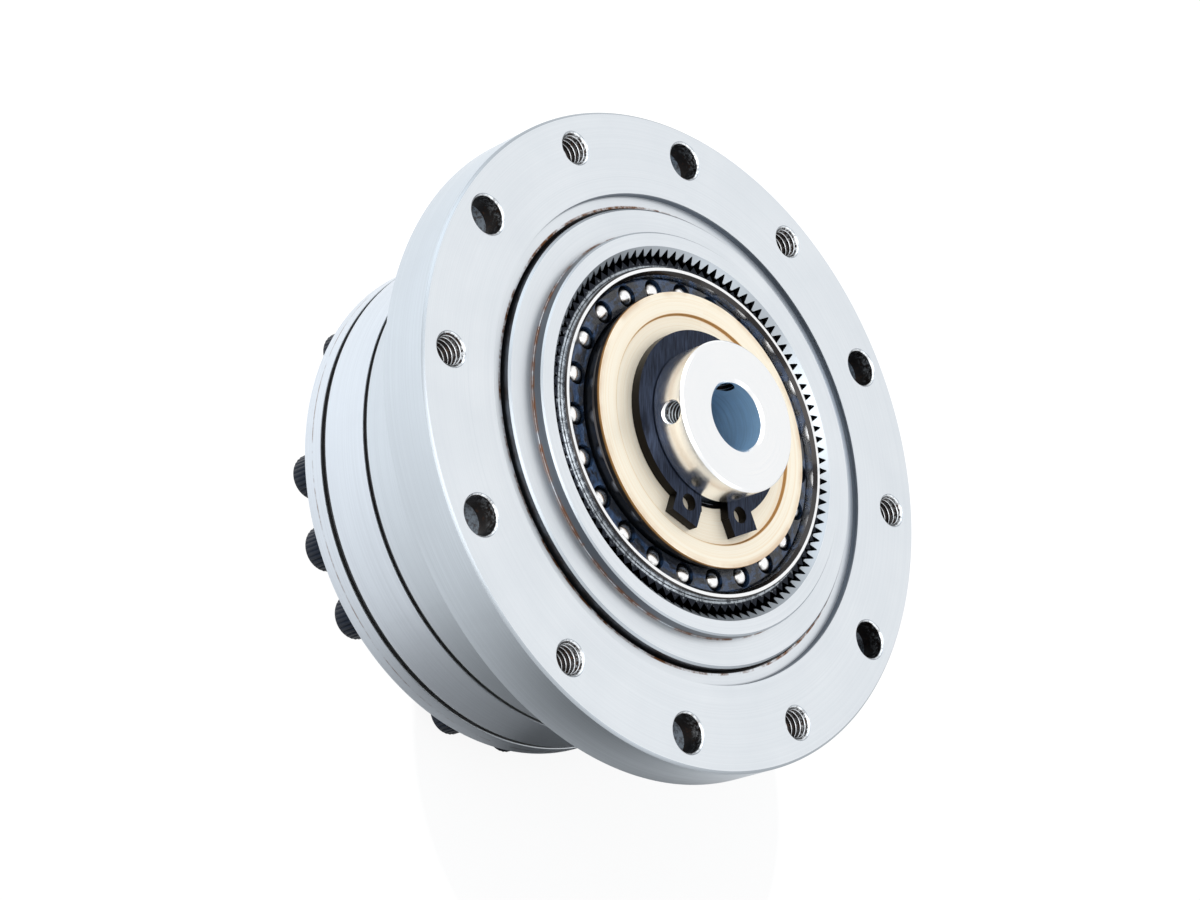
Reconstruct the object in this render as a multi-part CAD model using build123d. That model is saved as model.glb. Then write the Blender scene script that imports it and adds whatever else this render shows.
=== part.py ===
from build123d import *
import math
import os

os.makedirs("parts", exist_ok=True)

# Cup-type strain wave gear. All sizes are millimetres.
# The axis is Z. The output face lies on z = 0 and the input hub points up.

# Heights of the housing stack, from the output face up
output_proud = 4.5
rear_ring_height = 4.3
front_ring_height = 7.6
flange_body_height = 13.1
flange_thickness = 7.0

# Clearances and seats that many pieces share
seat_gap = 0.02
slider_gap = 0.05
seam_angle = 15.0

# Flexible cup
cup_inner_radius = 20.3
cup_wall = 0.35
cup_root_step = 0.07
cup_tooth_height = 0.82
cup_tooth_length = 8.6
cup_recess = 0.8
cup_round_height = 5.0
cup_floor = 0.7
cup_floor_gap = 0.5
cup_corner = 1.6
cup_side_gap = 0.75
boss_radius = 12.5
boss_height = 3.0
pilot_radius = 5.5
pilot_height = 2.0
cup_screw_inset = 3.5
cup_screw_count = 6
cup_screw_offset = 30.0
cup_screw_grip = 5.0

# Gear: two teeth fewer on the flexible cup than on the rigid ring
spline_teeth = 102
cup_teeth = 100
wave_height = 0.42
wave_angle = 100.0
root_clearance = 0.16
tip_clearance = 0.11
lip_wall = 1.98
lip_height = 1.5
spline_rim = 3.4
spline_seat_depth = 8.2
spline_proud = 0.3

# Screws that clamp the two bearing rings to the flange
screw_wall = 2.5
screw_rim = 3.5
screw_places = 20
screws_per_group = 3
screw_group_angle = -30.0
m3_radius = 1.5
m3_head_radius = 2.75
m3_head_height = 3.0
m3_socket_radius = 1.25
m3_socket_depth = 1.5
socket_sides = 6
m3_clearance = 0.1
shank_sides = 8
head_sides = 12
screw_tip_room = 1.0
screw_grip = 4.1

# Housing seats and edges
spline_shoulder = 2.5
face_recess_width = 1.9
face_recess_depth = 0.8
flange_edge_chamfer = 0.4
body_edge_chamfer = 0.5
joint_seal_width = 0.42
joint_seal_depth = 0.6

# Holes in the flange
bolt_count = 6
bolt_hole_radius = 2.25
bolt_counterbore_radius = 3.7
bolt_hole_land = 3.0
bolt_shoulder_wall = 0.8
bolt_rim_wall = 0.3
hole_mouth_chamfer = 0.35
thread_hole_radius = 1.65
thread_hole_offset = 30.0

# Output flange and crossed roller bearing
output_height = 12.0
output_pilot_radius = 7.0
output_pilot_depth = 4.0
output_bolt_inset = 3.2
output_bolt_count = 6
output_hole_radius = 1.65
output_hole_depth = 6.0
output_edge_chamfer = 0.5
roller_radius = 2.0
roller_length = 3.9
roller_side_count = 12
roller_play = 0.05
ring_half_gap = 0.6
spacer_thickness = 0.6
spacer_size = 3.2
spacer_gap = 0.2
seal_width = 2.2
seal_height = 1.5
seal_lip_gap = 0.1

# Wave generator and its thin ball bearing
race_width = 6.3
race_proud = 0.1
race_fit_gap = 0.05
race_wall = 0.95
ball_radius = 1.6
ball_count = 23
ball_side_count = 8
ball_play = 0.1
first_ball_angle = 262.6
inner_race_wall = 1.1
cage_half_width = 1.1
cage_front = 2.2
cage_back = 2.3
pocket_play = 0.35
pocket_mouth = 2.4

# Cross slider coupling and input hub
slider_travel = 0.15
hub_radius = 9.0
hub_bore_radius = 4.0
hub_proud = 8.3
hub_chamfer = 0.3
hub_float = 0.4
hub_flange_width = 4.0
hub_flange_height = 2.45
insert_rim = 0.4
insert_height = 2.35
insert_bore_gap = 0.7
tongue_width = 4.0
tongue_height = 1.5
tongue_length = 2.6
tongue_inset = 0.6
set_screw_radius = 1.25
set_screw_depth = 1.85
set_screw_angles = (280.0, 190.0)

# Rub washer and snap ring
washer_overhang = 0.35
washer_thickness = 0.9
washer_step_width = 4.4
washer_step_depth = 0.35
ring_thickness = 1.2
ring_groove_depth = 0.6
ring_width = 2.8
ring_gap_angle = 4.0
ring_lug_angle = 22.5
ring_lug_width = 4.0
ring_lug_reach = 4.5
ring_hole_radius = 1.0
ring_hole_inset = 2.2
ring_eccentric = 0.35

# Radii worked out from the cup outwards
cup_root_radius = cup_inner_radius + cup_wall + cup_root_step
cup_tip_radius = cup_root_radius + cup_tooth_height
spline_tip_radius = cup_root_radius + wave_height + tip_clearance
spline_root_radius = cup_tip_radius + wave_height + root_clearance
lip_radius = spline_root_radius + lip_wall
spline_outer_radius = lip_radius + spline_rim
face_recess_radius = spline_outer_radius + face_recess_width
flange_bore_radius = spline_outer_radius - spline_shoulder
screw_circle_radius = flange_bore_radius + screw_wall
body_radius = screw_circle_radius + screw_rim
bolt_circle_radius = body_radius + bolt_shoulder_wall + bolt_counterbore_radius
flange_radius = bolt_circle_radius + bolt_counterbore_radius + bolt_rim_wall

# Radii of the roller bearing, worked out from the wall of the cup outwards and inwards
outer_ring_bore = cup_inner_radius + cup_wall + cup_side_gap
roller_circle_radius = outer_ring_bore - ring_half_gap
output_radius = roller_circle_radius - ring_half_gap
output_bolt_circle_radius = output_radius - output_bolt_inset
seal_pocket_radius = outer_ring_bore + seal_width
cup_screw_circle_radius = boss_radius - cup_screw_inset

# An even number of crossed rollers, as many as fit round the circle with their spacers
roller_pitch = 2 * (roller_radius + spacer_gap) + spacer_thickness
roller_count = 2 * int(math.pi * roller_circle_radius / roller_pitch)

# Radii worked out from the cup inwards and from the hub outwards
outer_race_radius = cup_inner_radius - race_fit_gap
ball_circle_radius = outer_race_radius - race_wall - ball_radius
inner_race_radius = ball_circle_radius - ball_radius
plug_radius = inner_race_radius - inner_race_wall - seat_gap
pocket_radius = ball_radius + pocket_play
hub_flange_radius = hub_radius + hub_flange_width
insert_radius = hub_flange_radius + insert_rim
insert_bore = hub_radius + insert_bore_gap
tongue_outer = insert_radius - tongue_inset
tongue_inner = tongue_outer - tongue_length
washer_bore = hub_radius + hub_float
washer_radius = inner_race_radius + washer_overhang
washer_step_radius = washer_bore + washer_step_width
ring_groove_radius = hub_radius - ring_groove_depth
ring_outer_radius = ring_groove_radius + ring_width
ring_lug_radius = ring_groove_radius + ring_lug_reach
ring_hole_circle = ring_lug_radius - ring_hole_inset

# Levels worked out from the stack
rear_face = output_proud
split_level = rear_face + rear_ring_height
joint_level = split_level + front_ring_height
flange_back = joint_level + flange_body_height
flange_face = flange_back + flange_thickness
spline_seat = flange_face - face_recess_depth - spline_seat_depth
lip_top = flange_face + spline_proud + lip_height
race_top = lip_top + race_proud
race_bottom = race_top - race_width
ball_level = race_top - race_width / 2
washer_bottom = race_top + slider_gap
washer_top = washer_bottom + washer_thickness
ring_bottom = washer_top - washer_step_depth + slider_gap
insert_top = race_bottom - slider_gap
insert_bottom = insert_top - insert_height
hub_flange_top = insert_bottom - slider_gap
hub_bottom = hub_flange_top - hub_flange_height
hub_top = flange_face + hub_proud


def turned(points):
    """Solid of revolution about Z from (radius, height) points, its seam turned clear of the holes."""
    profile = make_face(Plane.XZ * Polyline(*points, close=True))
    return Rot(0, 0, seam_angle) * revolve(profile, Axis.Z, 360)


def disc(radius, bottom, top):
    """Plain round disc between two heights."""
    return Pos(0, 0, bottom) * extrude(Circle(radius), top - bottom)


def ring(outer, inner, bottom, top):
    """Plain round ring between two heights."""
    return Pos(0, 0, bottom) * extrude(Circle(outer) - Circle(inner), top - bottom)


def oval(radius):
    """Round outline pushed out along X and in along Y by the wave height."""
    return Ellipse(radius + wave_height, radius - wave_height)


def oval_ring(outer, inner, bottom, top):
    """Oval ring of even wall, between two heights."""
    return Pos(0, 0, bottom) * extrude(oval(outer) - oval(inner), top - bottom)


def around(shape, angles):
    """Copies of a shape turned about Z."""
    return [Rot(0, 0, angle) * shape for angle in angles]


def even_angles(count, first=0.0):
    """Even steps of a full turn, in degrees."""
    return [first + 360.0 * i / count for i in range(count)]


def flats_bar(radius, flats, length):
    """Bar of regular section along Z with its flats at the given radius."""
    return extrude(RegularPolygon(radius, flats, major_radius=False), length)


def screw_angles():
    """Places on the screw circle: groups of screws with one place left empty between them."""
    step = 360.0 / screw_places
    group = screws_per_group + 1
    return [screw_group_angle + step * i for i in range(screw_places) if i % group]


def screw_holes(bottom, top):
    """Holes for the housing screws between two heights."""
    hole = flats_bar(m3_radius + m3_clearance, shank_sides, top - bottom)
    return around(Pos(screw_circle_radius, 0, bottom) * hole, screw_angles())


def socket_screw(grip):
    """Socket head screw, head below z = 0 and shank up."""
    end = Pos(0, 0, -m3_head_height)
    head = end * flats_bar(m3_head_radius, head_sides, m3_head_height)
    socket = end * flats_bar(m3_socket_radius, socket_sides, m3_socket_depth)
    return head - socket + flats_bar(m3_radius, shank_sides, grip)


def mounting_flange():
    """Flange with the front half of the housing body, open down the middle."""
    recess_floor = flange_face - face_recess_depth
    body = turned([
        (flange_bore_radius, joint_level),
        (body_radius, joint_level),
        (body_radius, flange_back),
        (flange_radius, flange_back),
        (flange_radius, flange_face - flange_edge_chamfer),
        (flange_radius - flange_edge_chamfer, flange_face),
        (face_recess_radius, flange_face),
        (face_recess_radius, recess_floor),
        (spline_outer_radius, recess_floor),
        (spline_outer_radius, spline_seat),
        (flange_bore_radius, spline_seat),
    ])
    land = flange_face - bolt_hole_land
    bolt = turned([
        (0, flange_back),
        (bolt_counterbore_radius, flange_back),
        (bolt_counterbore_radius, land),
        (bolt_hole_radius, land),
        (bolt_hole_radius, flange_face - hole_mouth_chamfer),
        (bolt_hole_radius + hole_mouth_chamfer, flange_face),
        (0, flange_face),
    ])
    thread = turned([
        (0, flange_back),
        (thread_hole_radius, flange_back),
        (thread_hole_radius, flange_face - hole_mouth_chamfer),
        (thread_hole_radius + hole_mouth_chamfer, flange_face),
        (0, flange_face),
    ])
    place = Pos(bolt_circle_radius, 0, 0)
    holes = around(place * bolt, even_angles(bolt_count))
    holes += around(place * thread, even_angles(bolt_count, thread_hole_offset))
    holes += screw_holes(joint_level, joint_level + screw_grip + screw_tip_room)
    return body - holes


def circular_spline():
    """Rigid ring with inner teeth and the raised lip round them."""
    step = 360.0 / spline_teeth
    points = []
    for i in range(spline_teeth):
        space = math.radians(step * i)
        tooth = math.radians(step * (i + 0.5))
        points.append((spline_root_radius * math.cos(space), spline_root_radius * math.sin(space)))
        points.append((spline_tip_radius * math.cos(tooth), spline_tip_radius * math.sin(tooth)))
    teeth = make_face(Polyline(*points, close=True))
    face = flange_face + spline_proud
    blank = Circle(spline_outer_radius - seat_gap)
    seat = Pos(0, 0, spline_seat) * extrude(blank - teeth, face - spline_seat)
    lip = Pos(0, 0, face) * extrude(Circle(lip_radius) - teeth, lip_height)
    return Rot(0, 0, wave_angle) * (seat + lip)


def joint_seal(top):
    """Black sealing ring in the groove under a joint of the housing."""
    outer = body_radius - 0.25 * joint_seal_depth
    inner = body_radius - joint_seal_depth + seat_gap
    return ring(outer, inner, top - joint_seal_width, top)


def roller_vee():
    """Distance from the roller circle to the bottom of the raceway vee."""
    return math.sqrt(2) * roller_radius + roller_play


def bearing_outer_ring_front():
    """Middle housing ring: upper half of the outer raceway."""
    vee = roller_circle_radius + roller_vee()
    blank = turned([
        (outer_ring_bore, joint_level),
        (outer_ring_bore, split_level + vee - outer_ring_bore),
        (vee, split_level),
        (body_radius, split_level),
        (body_radius, joint_level - joint_seal_width),
        (body_radius - joint_seal_depth, joint_level - joint_seal_width),
        (body_radius - joint_seal_depth, joint_level),
    ])
    return blank - screw_holes(split_level, joint_level)


def bearing_outer_ring_rear():
    """Rear housing ring: lower half of the outer raceway and the pocket of the oil seal."""
    vee = roller_circle_radius + roller_vee()
    blank = turned([
        (seal_pocket_radius, rear_face),
        (body_radius - body_edge_chamfer, rear_face),
        (body_radius, rear_face + body_edge_chamfer),
        (body_radius, split_level - joint_seal_width),
        (body_radius - joint_seal_depth, split_level - joint_seal_width),
        (body_radius - joint_seal_depth, split_level),
        (vee, split_level),
        (outer_ring_bore, split_level - vee + outer_ring_bore),
        (outer_ring_bore, rear_face + seal_height),
        (seal_pocket_radius, rear_face + seal_height),
    ])
    return blank - screw_holes(rear_face, split_level)


def housing_screws():
    """Socket head screws in groups round the rear face."""
    grip = joint_level + screw_grip - rear_face
    screw = Pos(screw_circle_radius, 0, rear_face) * socket_screw(grip)
    return Compound(around(screw, screw_angles()))


def oil_seal():
    """Rubber seal between the rear ring and the turning output flange."""
    outer = seal_pocket_radius - seat_gap
    return ring(outer, output_radius + seal_lip_gap, rear_face, rear_face + seal_height)


def output_flange():
    """Output flange, inner bearing ring and seat of the cup in one piece."""
    vee = roller_circle_radius - roller_vee()
    blank = turned([
        (0, output_pilot_depth),
        (output_pilot_radius, output_pilot_depth),
        (output_pilot_radius, 0),
        (output_radius - output_edge_chamfer, 0),
        (output_radius, output_edge_chamfer),
        (output_radius, split_level - output_radius + vee),
        (vee, split_level),
        (output_radius, split_level + output_radius - vee),
        (output_radius, output_height),
        (pilot_radius - seat_gap, output_height),
        (pilot_radius - seat_gap, output_height + pilot_height),
        (0, output_height + pilot_height),
    ])
    tapped = Pos(output_bolt_circle_radius, 0, 0) * disc(output_hole_radius, 0, output_hole_depth)
    depth = cup_screw_grip + screw_tip_room
    cup_hole = flats_bar(m3_radius + m3_clearance, shank_sides, depth)
    cup_hole = Pos(cup_screw_circle_radius, 0, output_height - depth) * cup_hole
    holes = around(tapped, even_angles(output_bolt_count))
    holes += around(cup_hole, even_angles(cup_screw_count, cup_screw_offset))
    return blank - holes


def cup_tooth_face():
    """Outline of the cup's teeth, bent to the oval: even steps along the wall, square to it."""
    neutral = cup_inner_radius + cup_wall / 2
    points = []
    for i in range(2 * cup_teeth):
        radius = cup_tip_radius if i % 2 == 0 else cup_root_radius
        flat = math.pi * i / cup_teeth
        turn = flat - wave_height / (2 * neutral) * math.sin(2 * flat)
        reach = neutral + wave_height * math.cos(2 * flat)
        normal = turn + 2 * wave_height / neutral * math.sin(2 * turn)
        height = radius - neutral
        x = reach * math.cos(turn) + height * math.cos(normal)
        y = reach * math.sin(turn) + height * math.sin(normal)
        points.append((x, y))
    return make_face(Polyline(*points, close=True))


def flexspline():
    """Thin flexible cup: oval toothed rim, wall that rounds off towards the floor, and thick boss."""
    outer = cup_inner_radius + cup_wall
    floor_bottom = output_height + cup_floor_gap
    floor_top = floor_bottom + cup_floor
    round_top = floor_top + cup_round_height
    tooth_bottom = lip_top - cup_recess - cup_tooth_length
    base = disc(outer, floor_bottom, round_top)
    base = chamfer(base.edges().group_by(Axis.Z)[0], cup_corner)
    hollow = disc(cup_inner_radius, floor_top, round_top)
    hollow = chamfer(hollow.edges().group_by(Axis.Z)[0], cup_corner - cup_wall)
    base = base - hollow
    base = base + disc(boss_radius, output_height, output_height + boss_height)
    low = Pos(0, 0, round_top)
    high = Pos(0, 0, tooth_bottom)
    shell = loft([low * Circle(outer), high * oval(outer)], ruled=True)
    shell = shell - loft([low * Circle(cup_inner_radius), high * oval(cup_inner_radius)], ruled=True)
    rim = high * extrude(cup_tooth_face() - oval(cup_inner_radius), cup_tooth_length)
    cup = base + shell + rim
    screw_hole = flats_bar(m3_radius + m3_clearance, shank_sides, boss_height)
    screw_hole = Pos(cup_screw_circle_radius, 0, output_height) * screw_hole
    holes = around(screw_hole, even_angles(cup_screw_count, cup_screw_offset - wave_angle))
    holes.append(disc(pilot_radius, output_height, output_height + boss_height))
    return Rot(0, 0, wave_angle) * (cup - holes)


def flexspline_screws():
    """Screws that hold the boss of the cup on the output flange, heads inside the cup."""
    screw = Rot(180, 0, 0) * socket_screw(boss_height + cup_screw_grip)
    screw = Pos(cup_screw_circle_radius, 0, output_height + boss_height) * screw
    return Compound(around(screw, even_angles(cup_screw_count, cup_screw_offset)))


def crossed_rollers():
    """Rollers of the main bearing, leaning in and out in turn."""
    section = RegularPolygon(roller_radius, roller_side_count)
    roller = Pos(0, 0, -roller_length / 2) * extrude(section, roller_length)
    rollers = []
    for i, angle in enumerate(even_angles(roller_count)):
        lean = 45.0 if i % 2 else -45.0
        place = Rot(0, 0, angle) * Pos(roller_circle_radius, 0, split_level) * Rot(0, lean, 0)
        rollers.append(place * roller)
    return Compound(rollers)


def roller_spacers():
    """Thin spacers that keep the rollers apart."""
    spacer = Rot(0, 45, 0) * Box(spacer_size, spacer_thickness, spacer_size)
    spacer = Pos(roller_circle_radius, 0, split_level) * spacer
    return Compound(around(spacer, even_angles(roller_count, 180.0 / roller_count)))


def bearing_outer_race():
    """Thin outer race, pressed to an oval by the balls."""
    inner = outer_race_radius - race_wall
    return Rot(0, 0, wave_angle) * oval_ring(outer_race_radius, inner, race_bottom, race_top)


def bearing_inner_race():
    """Thin inner race on the oval plug."""
    inner = inner_race_radius - inner_race_wall
    return Rot(0, 0, wave_angle) * oval_ring(inner_race_radius, inner, race_bottom, race_top)


def ball_places():
    """Where each ball sits on the oval, with its turn about Z."""
    places = []
    for angle in even_angles(ball_count, first_ball_angle):
        reach = ball_circle_radius + wave_height * math.cos(math.radians(2 * (angle - wave_angle)))
        places.append(Rot(0, 0, angle) * Pos(reach, 0, ball_level))
    return places


def bearing_balls():
    """Balls with flats instead of a full sphere: the common part of three eight-sided bars."""
    half = ball_radius - ball_play
    bar = Pos(0, 0, -2 * half) * flats_bar(half, ball_side_count, 4 * half)
    ball = bar & (Rot(90, 0, 0) * bar) & (Rot(0, 90, 0) * bar)
    return Compound([place * ball for place in ball_places()])


def ball_separator():
    """Plastic ring with a pocket for each ball and a narrower mouth at the front."""
    outer = ball_circle_radius + cage_half_width
    inner = ball_circle_radius - cage_half_width
    blank = Rot(0, 0, wave_angle) * oval_ring(outer, inner, ball_level - cage_back, ball_level + cage_front)
    reach = 2 * cage_half_width + 4 * wave_height
    pocket = Rot(0, 90, 0) * Pos(0, 0, -reach / 2) * flats_bar(pocket_radius, ball_side_count, reach)
    pocket = pocket + Pos(0, 0, cage_front / 2) * Box(reach, pocket_mouth, cage_front)
    return blank - [place * pocket for place in ball_places()]


def wave_plug():
    """Oval plug inside the inner race, slotted behind for the cross slider."""
    section = oval(plug_radius) - Circle(hub_radius + hub_float)
    body = Pos(0, 0, race_bottom) * extrude(section, washer_bottom - race_bottom)
    depth = tongue_height + 2 * slider_gap
    reach = 2 * (tongue_outer + 2 * slider_travel)
    slot = Pos(0, 0, race_bottom + depth / 2) * Box(reach, tongue_width + slider_gap, depth)
    return Rot(0, 0, wave_angle) * (body - slot)


def tongues(bottom):
    """Pair of driving tongues along X, standing on a height."""
    block = Box(tongue_outer - tongue_inner, tongue_width - slider_gap, tongue_height)
    middle = (tongue_outer + tongue_inner) / 2
    block = Pos(middle, 0, bottom + tongue_height / 2) * block
    return around(block, (0.0, 180.0))


def oldham_insert():
    """Cross slider between plug and hub: tongues in front, slots behind at a right angle."""
    body = ring(insert_radius, insert_bore, insert_bottom, insert_top)
    depth = tongue_height + 2 * slider_gap
    slot = Pos(0, 0, insert_bottom + depth / 2) * Box(tongue_width + slider_gap, 2.2 * insert_radius, depth)
    body = body - slot
    for tongue in tongues(insert_top):
        body = body + tongue
    return Rot(0, 0, wave_angle) * body


def input_hub():
    """Bored input hub with driving flange, ring groove and set screw holes."""
    groove_bottom = ring_bottom - slider_gap
    body = turned([
        (hub_bore_radius, hub_bottom),
        (hub_flange_radius, hub_bottom),
        (hub_flange_radius, hub_flange_top),
        (hub_radius, hub_flange_top),
        (hub_radius, groove_bottom),
        (ring_groove_radius, groove_bottom),
        (ring_groove_radius, ring_bottom + ring_thickness + slider_gap),
        (hub_radius, ring_bottom + ring_thickness + slider_gap),
        (hub_radius, hub_top - hub_chamfer),
        (hub_radius - hub_chamfer, hub_top),
        (hub_bore_radius, hub_top),
    ])
    for tongue in tongues(hub_flange_top):
        body = body + Rot(0, 0, wave_angle + 90.0) * tongue
    bore = Rot(0, 90, 0) * extrude(Circle(set_screw_radius), 2 * hub_radius)
    holes = around(Pos(0, 0, hub_top - set_screw_depth) * bore, set_screw_angles)
    return body - holes


def rub_washer():
    """Bronze washer in front of the plug, stepped for the snap ring."""
    floor = washer_top - washer_step_depth
    return turned([
        (washer_bore, washer_bottom),
        (washer_radius, washer_bottom),
        (washer_radius, washer_top),
        (washer_step_radius, washer_top),
        (washer_step_radius, floor),
        (washer_bore, floor),
    ])


def snap_ring():
    """Outside snap ring with two drilled lugs beside its gap."""
    inner = ring_groove_radius + seat_gap
    band = Pos(-ring_eccentric, 0) * Circle(ring_outer_radius)
    mouth = 2 * math.tan(math.radians(ring_lug_angle)) * ring_lug_radius
    profile = band
    for side in (-1, 1):
        turn = Rot(0, 0, side * ring_lug_angle)
        middle = (inner + ring_lug_radius) / 2
        profile = profile + turn * Pos(middle, 0) * Rectangle(ring_lug_radius - inner, ring_lug_width)
    gap = Pos(ring_lug_radius, 0) * Rectangle(2 * ring_lug_radius - 2, mouth - ring_lug_width * 1.6)
    profile = profile - Circle(inner) - gap
    for side in (-1, 1):
        hole = Pos(ring_hole_circle, 0) * Circle(ring_hole_radius)
        profile = profile - Rot(0, 0, side * ring_lug_angle) * hole
    return Rot(0, 0, ring_gap_angle) * Pos(0, 0, ring_bottom) * extrude(profile, ring_thickness)


pieces = {
    "mounting_flange": mounting_flange(),
    "circular_spline": circular_spline(),
    "joint_seal_front": joint_seal(joint_level),
    "bearing_outer_ring_front": bearing_outer_ring_front(),
    "joint_seal_rear": joint_seal(split_level),
    "bearing_outer_ring_rear": bearing_outer_ring_rear(),
    "housing_screws": housing_screws(),
    "oil_seal": oil_seal(),
    "output_flange": output_flange(),
    "flexspline": flexspline(),
    "flexspline_screws": flexspline_screws(),
    "crossed_rollers": crossed_rollers(),
    "roller_spacers": roller_spacers(),
    "wave_plug": wave_plug(),
    "bearing_inner_race": bearing_inner_race(),
    "bearing_balls": bearing_balls(),
    "ball_separator": ball_separator(),
    "bearing_outer_race": bearing_outer_race(),
    "rub_washer": rub_washer(),
    "oldham_insert": oldham_insert(),
    "input_hub": input_hub(),
    "snap_ring": snap_ring(),
}

for name, piece in pieces.items():
    export_step(piece, f"parts/{name}.step")
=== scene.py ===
"""Looks of a cup-type strain wave gear: turned steel, oiled bearing, bronze washer, blued snap ring."""

import math

import bmesh
import bpy
from bpy.props import FloatProperty, FloatVectorProperty, IntProperty, PointerProperty
from mathutils import Matrix, Vector


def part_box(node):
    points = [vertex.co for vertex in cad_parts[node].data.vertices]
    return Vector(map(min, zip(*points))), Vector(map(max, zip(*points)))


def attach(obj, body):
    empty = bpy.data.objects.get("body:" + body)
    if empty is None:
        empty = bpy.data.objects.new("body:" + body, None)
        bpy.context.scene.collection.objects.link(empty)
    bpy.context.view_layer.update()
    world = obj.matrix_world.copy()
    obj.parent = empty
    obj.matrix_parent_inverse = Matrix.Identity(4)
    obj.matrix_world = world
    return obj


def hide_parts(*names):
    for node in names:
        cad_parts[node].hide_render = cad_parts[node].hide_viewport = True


bl_info = {
    "name": "Strain wave gear looks",
    "version": (1, 0, 0),
    "blender": (4, 5, 0),
    "location": "View3D > Sidebar > Gear",
    "description": "Builds the visible pieces and finishes of a cup-type strain wave gear",
    "category": "Object",
}

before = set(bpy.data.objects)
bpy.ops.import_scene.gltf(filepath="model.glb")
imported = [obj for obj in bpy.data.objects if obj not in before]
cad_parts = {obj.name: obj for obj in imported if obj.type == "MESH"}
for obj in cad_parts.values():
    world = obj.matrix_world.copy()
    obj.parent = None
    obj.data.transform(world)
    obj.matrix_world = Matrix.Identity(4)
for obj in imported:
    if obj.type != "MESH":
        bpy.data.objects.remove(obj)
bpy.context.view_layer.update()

MM = 0.001
TURN = 2 * math.pi
WORN = 0.07  # bright outermost part of a hole's chamfer, in millimetres
SET_SCREWS = (280.0, 190.0)  # directions of the set screws, in degrees
TONGUES = (10.0, 190.0)  # directions of the hub's driving tongues, in degrees
FRONT_RING = "bearing_outer_ring_front"
REAR_RING = "bearing_outer_ring_rear"


def top_of(node):
    """Highest point of a node of the frame, in millimetres."""
    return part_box(node)[1].z / MM


def bottom_of(node):
    """Lowest point of a node of the frame, in millimetres."""
    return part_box(node)[0].z / MM


def reach_of(node):
    """Half the width of a node along X, in millimetres: the radius of a round one."""
    low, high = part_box(node)
    return (high.x - low.x) / 2 / MM


def even_reach(node):
    """Mean of a node's half widths along X and Y, in millimetres: an oval's radius without its wave."""
    low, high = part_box(node)
    return (high.x - low.x + high.y - low.y) / 4 / MM


def length_value(name, description, default):
    """Property that holds a size in millimetres."""
    return FloatProperty(name=name, description=description, default=default, min=0.0)


def colour_value(name, description, default):
    """Property that holds a colour."""
    return FloatVectorProperty(name=name, description=description, default=default, subtype="COLOR",
                               size=3, min=0.0, max=1.0)


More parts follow.
